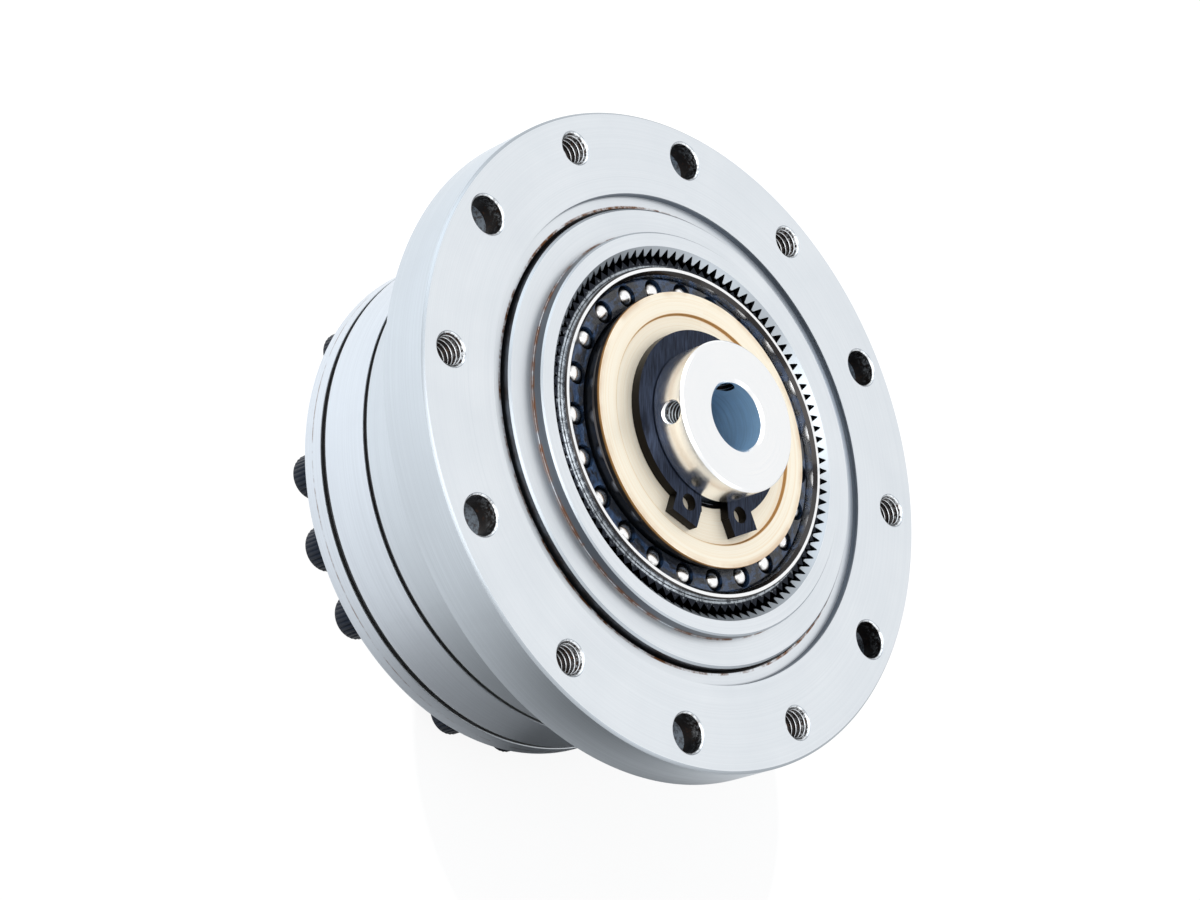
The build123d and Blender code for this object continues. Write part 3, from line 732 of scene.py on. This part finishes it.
def copies(obj, matrices):
    """Copies of an object at each matrix; the first object is removed."""
    made = []
    for matrix in matrices:
        mesh = obj.data.copy()
        mesh.transform(matrix)
        made.append(placed(obj.name + "_copy", mesh))
    bpy.data.objects.remove(obj)
    return made


def cut_from(obj, cutters):
    """Takes the cutters out of a solid and keeps the result as its mesh."""
    tool = joined(obj.name + "_cutters", cutters)
    modifier = obj.modifiers.new("holes", "BOOLEAN")
    modifier.operation = "DIFFERENCE"
    modifier.solver = "EXACT"
    modifier.material_mode = "TRANSFER"
    modifier.object = tool
    graph = bpy.context.evaluated_depsgraph_get()
    mesh = bpy.data.meshes.new_from_object(obj.evaluated_get(graph))
    obj.modifiers.clear()
    obj.data = mesh
    bpy.data.objects.remove(tool)
    shade(mesh)


def out_from_axis(angle, radius, height=0.0):
    """Place at an angle in radians, and at a radius and a height in millimetres."""
    return Matrix.Rotation(angle, 4, "Z") @ Matrix.Translation((radius * MM, 0, height * MM))


def around_axis(count, radius, first=0.0):
    """Places evenly round the axis, from a first angle on."""
    return [out_from_axis(first + TURN * i / count, radius) for i in range(count)]


def seat_on(obj, body, slot, *nodes):
    """Rides on a body and stands for its nodes, which it hides; the slot is not used."""
    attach(obj, body)
    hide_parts(*nodes)


def thread_cutter(name, bottom, top):
    """Cutter of a threaded flange hole: thread grooves round its core and a chamfer at the top."""
    s = sizes()
    over = 0.3
    core, outside, pitch = s.thread_core, s.thread_outside, s.thread_pitch
    rows = [(core, bottom - over)]
    height = bottom + 0.3 * pitch
    while height + pitch < top - s.mouth:
        rows += [(core, height), (outside, height + 0.42 * pitch), (outside, height + 0.52 * pitch),
                 (core, height + 0.94 * pitch)]
        height += pitch
    chamfer = outside - core + s.mouth / 2
    wide = outside + s.mouth / 2
    rows += [(core, top - chamfer), (wide - WORN, top - WORN), (wide, top), (wide, top + over)]
    return lathe(name, rows, 40, closed=False)


def oval_row(radius, height):
    """Row of a lathe mesh, pushed out along the long axis of the oval."""
    wave = sizes().wave
    return lambda angle: (radius + wave * math.cos(2 * angle), height)


class GEAR_OT_flange(bpy.types.Operator):
    """Mounting flange with its step, plain and threaded holes"""

    bl_idname = "gear.flange"
    bl_label = "Mounting flange"

    def execute(self, context):
        s = sizes()
        face, base = top_of("mounting_flange"), bottom_of("mounting_flange")
        back = face - s.flange_thickness
        rim = reach_of("circular_spline") + s.flange_rim
        body = reach_of(FRONT_RING)
        recess = face - s.recess_depth
        seat, edge, back_edge, slope = s.ring_seat, s.flange_chamfer, 0.4, 0.12
        gap, gap_floor, seat_floor = seat + 0.31, recess - 0.35, recess - 8.2
        outline = [
            (s.flange_bore, base), (body, base), (body, back - 0.5), (body - 0.25, back),
            (rim - back_edge, back), (rim, back + back_edge), (rim, face - edge), (rim - edge, face),
            (s.recess_radius, face), (s.recess_radius - slope, recess), (gap, recess), (gap, gap_floor),
            (seat, gap_floor), (seat, seat_floor), (s.flange_bore, seat_floor),
        ]
        flange = lathe("mounting_flange_turned", eased(outline, 0.06), 384)
        over, ease = 0.4, 0.15
        core, deep, land = s.bolt_hole, s.bolt_counterbore, face - s.bolt_land
        wide = core + s.mouth
        rows = [
            (deep, back - over), (deep, land - ease), (deep - ease, land), (core, land),
            (core, face - s.mouth), (wide - WORN, face - WORN), (wide, face), (wide, face + over),
        ]
        plain = lathe("plain_hole", rows, 64, closed=False)
        threaded = thread_cutter("thread_hole", back, face)
        for hole in (plain, threaded):
            dress(hole, "gear_hole_steel", "gear_ground_steel")
            dress_where(hole, 1, lambda centre: centre.z > face - WORN)
        dress(flange, "gear_ground_steel")
        holes = copies(plain, around_axis(6, s.bolt_circle))
        holes += copies(threaded, around_axis(6, s.bolt_circle, TURN / 12))
        cut_from(flange, holes)
        seat_on(flange, "housing", "satin_steel", "mounting_flange")
        return {"FINISHED"}


class GEAR_OT_toothed_ring(bpy.types.Operator):
    """Rigid toothed ring with its raised lip"""

    bl_idname = "gear.toothed_ring"
    bl_label = "Toothed ring"

    def execute(self, context):
        s = sizes()
        top, base = top_of("circular_spline"), bottom_of("circular_spline")
        face = top - s.lip_height
        root, tip, lip = s.tooth_root, s.tooth_tip, s.lip_radius
        seat = s.ring_seat - 0.02
        back_edge, front_edge, lip_edge, tooth_edge = 0.3, 0.25, 0.2, 0.22

        def tooth(height, slope):
            def row(angle):
                phase = angle * s.ring_teeth / TURN % 1.0
                wave = abs(2 * phase - 1)
                shape = min(1.0, max(0.0, (wave - 0.08) / 0.84))
                radius = tip + (root - tip) * shape
                return radius, height - (root - radius) * slope
            return row

        rows = [
            tooth(base + 0.2, 0.0), (root + back_edge, base), (seat - back_edge, base),
            (seat, base + back_edge), (seat, face - front_edge), (seat - front_edge, face),
            (lip + 0.05, face), (lip, face + 0.06), (lip, top - lip_edge), (lip - lip_edge, top),
            (root + tooth_edge, top), tooth(top - tooth_edge, 1.0),
        ]
        ring = lathe("toothed_ring", rows, s.ring_teeth * 12, turn=s.wave_angle)
        dress(ring, "gear_spline_steel")
        seat_on(ring, "housing", "satin_steel", "circular_spline")
        return {"FINISHED"}


class GEAR_OT_housing_rings(bpy.types.Operator):
    """Two bearing rings of the housing with the black seals between them"""

    bl_idname = "gear.housing_rings"
    bl_label = "Housing rings"

    def execute(self, context):
        s = sizes()
        body, neck, inner = reach_of(FRONT_RING), reach_of(FRONT_RING) - 0.6, 23.6
        rings = ((FRONT_RING, "front_ring", s.seam_front), (REAR_RING, "rear_ring", s.seam_rear))
        for node, name, seam in rings:
            base, top = bottom_of(node), top_of(node)
            outline = [(inner, base), (body, base), (body, top - seam), (neck, top - seam), (neck, top),
                       (inner, top)]
            if node == REAR_RING:
                chamfer = 0.5
                outline[1:2] = [(body - chamfer, base), (body, base + chamfer)]
            ring = lathe(name, eased(outline, 0.10), 360)
            dress(ring, "gear_ring_steel")
            seat_on(ring, "housing", "satin_steel", node)
        for node, name in (("joint_seal_front", "seal_front"), ("joint_seal_rear", "seal_rear")):
            base, top = bottom_of(node), top_of(node)
            outer, inner, edge, slope = reach_of(node), reach_of(node) - 0.4, 0.05, 0.12
            outline = [(inner, base), (outer - edge, base), (outer, base + slope), (outer, top - slope),
                       (outer - edge, top), (inner, top)]
            seal = lathe(name, outline, 256)
            dress(seal, "gear_rubber")
            seat_on(seal, "housing", "black_rubber", node)
        return {"FINISHED"}


class GEAR_OT_housing_screws(bpy.types.Operator):
    """Socket head screws with knurled heads on the rear face"""

    bl_idname = "gear.housing_screws"
    bl_label = "Housing screws"

    def execute(self, context):
        s = sizes()
        base = bottom_of(REAR_RING)
        bottom, reach, knurls = base - s.screw_height, s.screw_radius, 30
        socket, depth, edge = 1.25, 1.5, 0.12

        def knurled(level):
            def row(angle):
                ridge = abs(math.sin(angle * knurls / 2))
                return reach - 0.10 * (1 - ridge), level
            return row

        def hexagon(level, spread=0.0):
            def row(angle):
                side = (angle + math.pi / 6) % (math.pi / 3) - math.pi / 6
                return (socket + spread) / math.cos(side), level
            return row

        rows = [
            (0.02, bottom + depth + 0.3), hexagon(bottom + depth), hexagon(bottom + 0.15),
            hexagon(bottom, edge), (reach - 0.35, bottom), (reach - edge, bottom + edge),
            knurled(bottom + 0.3), knurled(base - edge), (reach - 0.15, base),
        ]
        head = lathe("screw_head", rows, knurls * 8, closed=False)
        # Twenty places round the axis, and every fourth one is empty. Each screw stopped at its own angle.
        places = []
        for i in range(20):
            if i % 4:
                place = out_from_axis(math.radians(-30.0 + 18.0 * i), s.screw_circle)
                places.append(place @ Matrix.Rotation(1.7 * i, 4, "Z"))
        screws = joined("housing_screw_heads", copies(head, places), 35.0)
        dress(screws, "gear_black_screw")
        seat_on(screws, "housing", "black_screw", "housing_screws")
        return {"FINISHED"}


class GEAR_OT_bearing(bpy.types.Operator):
    """Thin oval ball bearing: races, balls and cage"""

    bl_idname = "gear.bearing"
    bl_label = "Thin ball bearing"

    def execute(self, context):
        top, base = top_of("bearing_outer_race"), bottom_of("bearing_outer_race")
        middle = (top + base) / 2
        self.races(top, base, middle)
        places = self.ball_places(middle)
        self.balls(places)
        self.cage(middle, places)
        return {"FINISHED"}

    def races(self, top, base, middle):
        """Outer and inner race with the groove of the balls."""
        s = sizes()
        edge, chamfer, thickness = 0.18, 0.4, 1.1

        def groove(wall, sign):
            deepest, half = 0.14, 1.5
            rows = []
            for i in range(9):
                lift = -1.0 + 2.0 * i / 8
                depth = deepest * (1 - lift * lift)
                rows.append(oval_row(wall + sign * depth, middle + sign * lift * half))
            return rows

        outer, wall = s.race_radius, s.ball_circle + s.ball_radius
        rows = [oval_row(outer - edge, base), oval_row(outer, base + edge), oval_row(outer, top - edge),
                oval_row(outer - edge, top), oval_row(wall + chamfer, top), oval_row(wall, top - chamfer)]
        rows += groove(wall, 1)[::-1]
        rows += [oval_row(wall, base + edge), oval_row(wall + edge, base)]
        race = lathe("outer_race", rows, 288, turn=s.wave_angle)
        dress(race, "gear_bearing_steel")
        seat_on(race, "wave_generator", "bearing_chrome", "bearing_outer_race")

        wall = s.ball_circle - s.ball_radius
        inner = wall - thickness
        rows = [oval_row(inner, base), oval_row(inner, top), oval_row(wall - edge, top),
                oval_row(wall, top - edge)]
        rows += groove(wall, -1)
        rows += [oval_row(wall, base + edge), oval_row(wall - edge, base)]
        race = lathe("inner_race", rows, 288, turn=s.wave_angle)
        dress(race, "gear_oiled_plug")
        seat_on(race, "wave_generator", "bearing_chrome", "bearing_inner_race")

    def ball_places(self, middle):
        """Places of the balls along the oval."""
        s = sizes()
        places = []
        for i in range(s.balls):
            angle = s.first_ball + TURN * i / s.balls
            reach = s.ball_circle + s.wave * math.cos(2 * (angle - s.wave_angle))
            places.append(out_from_axis(angle, reach, middle + s.ball_lift))
        return places

    def balls(self, places):
        """Polished balls, a little smaller than their groove."""
        ball = sphere("ball", sizes().ball_radius - 0.04, 20, 40)
        balls = joined("bearing_ball_set", copies(ball, places), 60.0)
        dress(balls, "gear_ball_steel")
        seat_on(balls, "wave_generator", "bearing_chrome", "bearing_balls")

    def cage(self, middle, places):
        """Moulded cage with a pocket for each ball and an open mouth in front of it."""
        s = sizes()
        front, back, edge = middle + 1.85, middle - 2.3, 0.2
        inner, outer = s.ball_circle - 1.5, s.ball_circle + 1.5
        rows = [oval_row(inner, back), oval_row(outer, back), oval_row(outer, front - edge),
                oval_row(outer - edge, front), oval_row(inner + edge, front), oval_row(inner, front - edge)]
        cage = lathe("cage", rows, 288, turn=s.wave_angle)
        pocket = sphere("pocket", s.ball_radius + 0.06, 16, 36)
        cut_from(cage, copies(pocket, places))
        narrow, wide = 1.34, 1.44
        mouth = lathe("mouth", [(narrow, 0.6), (narrow, 1.2), (wide, 2.3)], 32, closed=False)
        cut_from(cage, copies(mouth, places))
        dress(cage, "gear_cage")
        seat_on(cage, "wave_generator", "cage_plastic", "ball_separator")


class GEAR_OT_washer(bpy.types.Operator):
    """Stepped bronze washer"""

    bl_idname = "gear.washer"
    bl_label = "Bronze washer"

    def execute(self, context):
        s = sizes()
        base, top = bottom_of("rub_washer"), top_of("rub_washer")
        step_floor = top - s.washer_step_depth
        reach, bore = reach_of("rub_washer"), s.washer_bore
        outline = [(bore, base), (reach, base), (reach, top), (s.washer_step, top),
                   (s.washer_step - 0.15, step_floor), (bore, step_floor)]
        washer = lathe("bronze_washer", eased(outline, 0.09), 256)
        dress(washer, "gear_bronze")
        seat_on(washer, "wave_generator", "bronze", "rub_washer")
        return {"FINISHED"}


class GEAR_OT_snap_ring(bpy.types.Operator):
    """Blued snap ring with two drilled lugs"""

    bl_idname = "gear.snap_ring"
    bl_label = "Snap ring"

    def execute(self, context):
        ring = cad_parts["snap_ring"]
        dress(ring, "gear_blued_steel")
        bevel = ring.modifiers.new("eased_edges", "BEVEL")
        bevel.width = 0.08 * MM
        bevel.segments = 2
        bevel.limit_method = "ANGLE"
        bevel.angle_limit = math.radians(40.0)
        return {"FINISHED"}


class GEAR_OT_hub(bpy.types.Operator):
    """Bored input hub with threaded set screw holes and driving tongues"""

    bl_idname = "gear.hub"
    bl_label = "Input hub"

    def execute(self, context):
        s = sizes()
        top, base = top_of("input_hub"), bottom_of("input_hub")
        bore, reach, edge, mouth = s.hub_bore, s.hub_radius, s.hub_chamfer, 0.35
        foot, foot_top = s.hub_flange, base + s.hub_flange_height
        groove, groove_base = s.ring_groove, bottom_of("snap_ring") - 0.05
        groove_top = groove_base + s.ring_groove_width
        outline = [
            (bore + 0.3, base), (foot, base), (foot, foot_top), (reach, foot_top), (reach, groove_base),
            (groove, groove_base), (groove, groove_top), (reach, groove_top), (reach, top - edge),
            (reach - edge, top), (bore + mouth, top), (bore, top - mouth), (bore, base + 0.3),
        ]
        hub = lathe("bored_hub", eased(outline, 0.05), 256)
        dress(hub, "gear_hub_steel", "gear_bore_steel")
        dress_where(hub, 1, lambda centre: centre.xy.length < bore + 0.02)
        cut_from(hub, [self.set_screw_cutter(degrees, top) for degrees in SET_SCREWS])
        tongues = [self.tongue(degrees, foot_top) for degrees in TONGUES]
        hub = joined("bored_hub", [hub] + tongues)
        seat_on(hub, "input_shaft", "hub_steel", "input_hub")
        return {"FINISHED"}

    def set_screw_cutter(self, degrees, top):
        """Cutter of a set screw hole: thread grooves round its core and a chamfer at the outside."""
        s = sizes()
        reach, core, crest, pitch = s.hub_radius, s.set_screw_core, s.set_screw_outside, s.set_screw_pitch
        chamfer = crest - core
        rows = []
        place = 2.0
        while place < reach - 0.7:
            rows += [(core, place), (crest, place + 0.42 * pitch), (crest, place + 0.54 * pitch),
                     (core, place + 0.96 * pitch)]
            place += pitch
        rows += [(core, reach - chamfer), (crest, reach), (crest, reach + 1.0)]
        tool = lathe("set_screw_hole", rows, 36, closed=False)
        dress(tool, "gear_hub_hole", "gear_hub_steel")
        dress_where(tool, 1, lambda centre: centre.z > reach - chamfer)
        tool.data.transform(Matrix.Rotation(math.pi / 2, 4, "Y"))
        tool.data.transform(Matrix.Rotation(math.radians(degrees), 4, "Z"))
        tool.data.transform(Matrix.Translation((0, 0, (top - s.set_screw_depth) * MM)))
        return tool

    def tongue(self, degrees, foot_top):
        """Driving tongue on the flange of the hub, which fits a slot of the cross slider."""
        inner, outer, half, height, sunk = 10.2, 12.8, 1.97, 1.5, 0.02
        tongue = block("tongue", (inner, -half, foot_top - sunk), (outer, half, foot_top + height))
        tongue.data.transform(Matrix.Rotation(math.radians(degrees), 4, "Z"))
        return tongue


class GEAR_OT_carried_over(bpy.types.Operator):
    """Finishes of the pieces kept as they are in the frame"""

    bl_idname = "gear.carried_over"
    bl_label = "Carried-over pieces"

    def execute(self, context):
        kept = {
            "output_flange": "gear_ring_steel",
            "flexspline": "gear_tooth_steel",
            "flexspline_screws": "gear_black_screw",
            "crossed_rollers": "gear_bearing_steel",
            "roller_spacers": "gear_cage",
            "oil_seal": "gear_rubber",
            "wave_plug": "gear_oiled_plug",
            "oldham_insert": "gear_oiled_plug",
        }
        for node, finish in kept.items():
            dress(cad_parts[node], finish)
        return {"FINISHED"}


class GEAR_OT_stage(bpy.types.Operator):
    """Pale floor, white surroundings, soft lamps and the camera"""

    bl_idname = "gear.stage"
    bl_label = "Stage"

    def execute(self, context):
        self.floor()
        self.world()
        self.lamps()
        self.camera()
        context.scene.view_settings.view_transform = "Standard"
        return {"FINISHED"}

    def floor(self):
        """Large pale floor that looks white to the camera and keeps the object's shadow; in reflections it
        glows with a painted shade and a painted shadow.
        """
        half = 1.5
        corners = [(-half, -half, 0), (half, -half, 0), (half, half, 0), (-half, half, 0)]
        mesh = bpy.data.meshes.new("floor")
        mesh.from_pydata(corners, [], [(0, 1, 2, 3)])
        floor = placed("floor", mesh)
        floor.location.z = -0.0003
        shader = Shader("pale_floor")
        shader.surface.inputs["Base Color"].default_value = rgba(colours().floor)
        shader.surface.inputs["Roughness"].default_value = 0.9
        rays = shader.add("ShaderNodeLightPath")
        camera_ray = rays.outputs["Is Camera Ray"]
        glow = shader.add("ShaderNodeEmission")
        glow.inputs["Color"].default_value = (1, 1, 1, 1)
        # Painted reflection: the floor glows for the camera, and in reflections as bright as the painted
        # shade allows.
        shader.join(shader.math("MAXIMUM", camera_ray, self.painted_floor_reflection(shader)), glow.inputs["Strength"])
        seen = shader.math("MAXIMUM", camera_ray, rays.outputs["Is Glossy Ray"])
        seen = shader.math("MAXIMUM", seen, rays.outputs["Is Transmission Ray"])
        share = shader.add("ShaderNodeMixShader")
        shader.join(shader.times(seen, 0.9), share.inputs[0])
        shader.join(shader.surface.outputs[0], share.inputs[1])
        shader.join(glow.outputs[0], share.inputs[2])
        shader.join(share.outputs[0], shader.nodes["Material Output"].inputs["Surface"])
        mesh.materials.append(shader.material)

    def painted_floor_reflection(self, shader):
        """Painted reflection of the floor in the steel: painted shade towards one side, and a painted shadow
        round a point under the gear.
        """
        painted_shade_side, painted_shadow_centre = (0.928, 0.257, -0.268), (0.028, 0.022, 0.0)
        place = shader.add("ShaderNodeNewGeometry")
        slant = shader.add("ShaderNodeVectorMath", operation="DOT_PRODUCT")
        shader.join(place.outputs["Incoming"], slant.inputs[0])
        slant.inputs[1].default_value = painted_shade_side
        near = shader.span(slant.outputs["Value"], 0.02, 1.25, -0.94, -0.42)
        far = shader.span(slant.outputs["Value"], 0.80, 1.22, -0.7, 0.2)
        painted_shadow_distance = shader.add("ShaderNodeVectorMath", operation="DISTANCE")
        shader.join(place.outputs["Position"], painted_shadow_distance.inputs[0])
        painted_shadow_distance.inputs[1].default_value = painted_shadow_centre
        outside_painted_shadow = shader.span(painted_shadow_distance.outputs["Value"], 0.0, 1.0, 0.016, 0.032)
        return shader.times(shader.math("MINIMUM", near, far), outside_painted_shadow)

    def world(self):
        """White to the camera, softer as a light."""
        world = bpy.data.worlds.new("white_room")
        bpy.context.scene.world = world
        world.use_nodes = True
        nodes, links = world.node_tree.nodes, world.node_tree.links
        back = nodes["Background"]
        back.inputs["Color"].default_value = (0.92, 0.96, 1.0, 1.0)
        back.inputs["Strength"].default_value = 0.55
        white = nodes.new("ShaderNodeBackground")
        white.inputs["Color"].default_value = (1.0, 1.0, 1.0, 1.0)
        white.inputs["Strength"].default_value = 1.0
        rays = nodes.new("ShaderNodeLightPath")
        seen = rays.outputs["Is Camera Ray"]
        for kind in ("Is Transmission Ray", "Is Glossy Ray"):
            larger = nodes.new("ShaderNodeMath")
            larger.operation = "MAXIMUM"
            links.new(seen, larger.inputs[0])
            links.new(rays.outputs[kind], larger.inputs[1])
            seen = larger.outputs[0]
        share = nodes.new("ShaderNodeMixShader")
        links.new(seen, share.inputs[0])
        links.new(back.outputs[0], share.inputs[1])
        links.new(white.outputs[0], share.inputs[2])
        links.new(share.outputs[0], nodes["World Output"].inputs["Surface"])

    def lamps(self):
        """Three soft lamps aimed at the gear."""
        aim = Vector((0, 0, 0.03))
        lamps = (
            ("key_lamp", (0.10, -0.45, 0.75), 0.80, 3.6, (1.0, 0.99, 0.97)),
            ("fill_lamp", (-0.60, -0.40, 0.35), 0.60, 1.2, (0.93, 0.97, 1.0)),
            ("rim_lamp", (0.55, 0.35, 0.55), 0.45, 0.5, (1.0, 1.0, 1.0)),
        )
        for name, place, size, power, colour in lamps:
            lamp = bpy.data.lights.new(name, "AREA")
            lamp.shape = "DISK"
            lamp.size = size
            lamp.energy = power
            lamp.color = colour
            obj = placed(name, lamp)
            obj.location = place
            obj.rotation_euler = (aim - Vector(place)).to_track_quat("-Z", "Y").to_euler()

    def camera(self):
        """Camera at the photograph's viewing angle."""
        place = Vector((0.12215, -0.21221, 0.24967))
        target = Vector((0.002054, -0.007582, 0.030))
        roll = math.radians(-68.587)
        data = bpy.data.cameras.new("camera")
        data.sensor_width = 36.0
        data.lens = 84.49
        data.clip_start = 0.01
        data.clip_end = 10.0
        camera = placed("camera", data)
        look = (target - place).to_track_quat("-Z", "Y").to_matrix().to_4x4()
        camera.matrix_world = Matrix.Translation(place) @ look @ Matrix.Rotation(-roll, 4, "Z")
        bpy.context.scene.camera = camera


class GEAR_PT_panel(bpy.types.Panel):
    """Lists the steps that build the gear's looks"""

    bl_idname = "GEAR_PT_panel"
    bl_label = "Strain wave gear"
    bl_space_type = "VIEW_3D"
    bl_region_type = "UI"
    bl_category = "Gear"

    def draw(self, context):
        for step in STEPS:
            self.layout.operator(step.bl_idname)


STEPS = (
    GEAR_OT_flange,
    GEAR_OT_toothed_ring,
    GEAR_OT_housing_rings,
    GEAR_OT_housing_screws,
    GEAR_OT_bearing,
    GEAR_OT_washer,
    GEAR_OT_snap_ring,
    GEAR_OT_hub,
    GEAR_OT_carried_over,
    GEAR_OT_stage,
)
CLASSES = (GearSizes, GearColours, *STEPS, GEAR_PT_panel)


def register():
    """Registers the classes and the shared values."""
    for one in CLASSES:
        bpy.utils.register_class(one)
    bpy.types.Scene.gear_sizes = PointerProperty(type=GearSizes)
    bpy.types.Scene.gear_colours = PointerProperty(type=GearColours)


def unregister():
    """Takes them away again."""
    del bpy.types.Scene.gear_colours
    del bpy.types.Scene.gear_sizes
    for one in reversed(CLASSES):
        bpy.utils.unregister_class(one)


def main():
    """Builds every piece and the stage."""
    register()
    bpy.ops.gear.flange()
    bpy.ops.gear.toothed_ring()
    bpy.ops.gear.housing_rings()
    bpy.ops.gear.housing_screws()
    bpy.ops.gear.bearing()
    bpy.ops.gear.washer()
    bpy.ops.gear.snap_ring()
    bpy.ops.gear.hub()
    bpy.ops.gear.carried_over()
    bpy.ops.gear.stage()


if __name__ == "__main__":
    main()
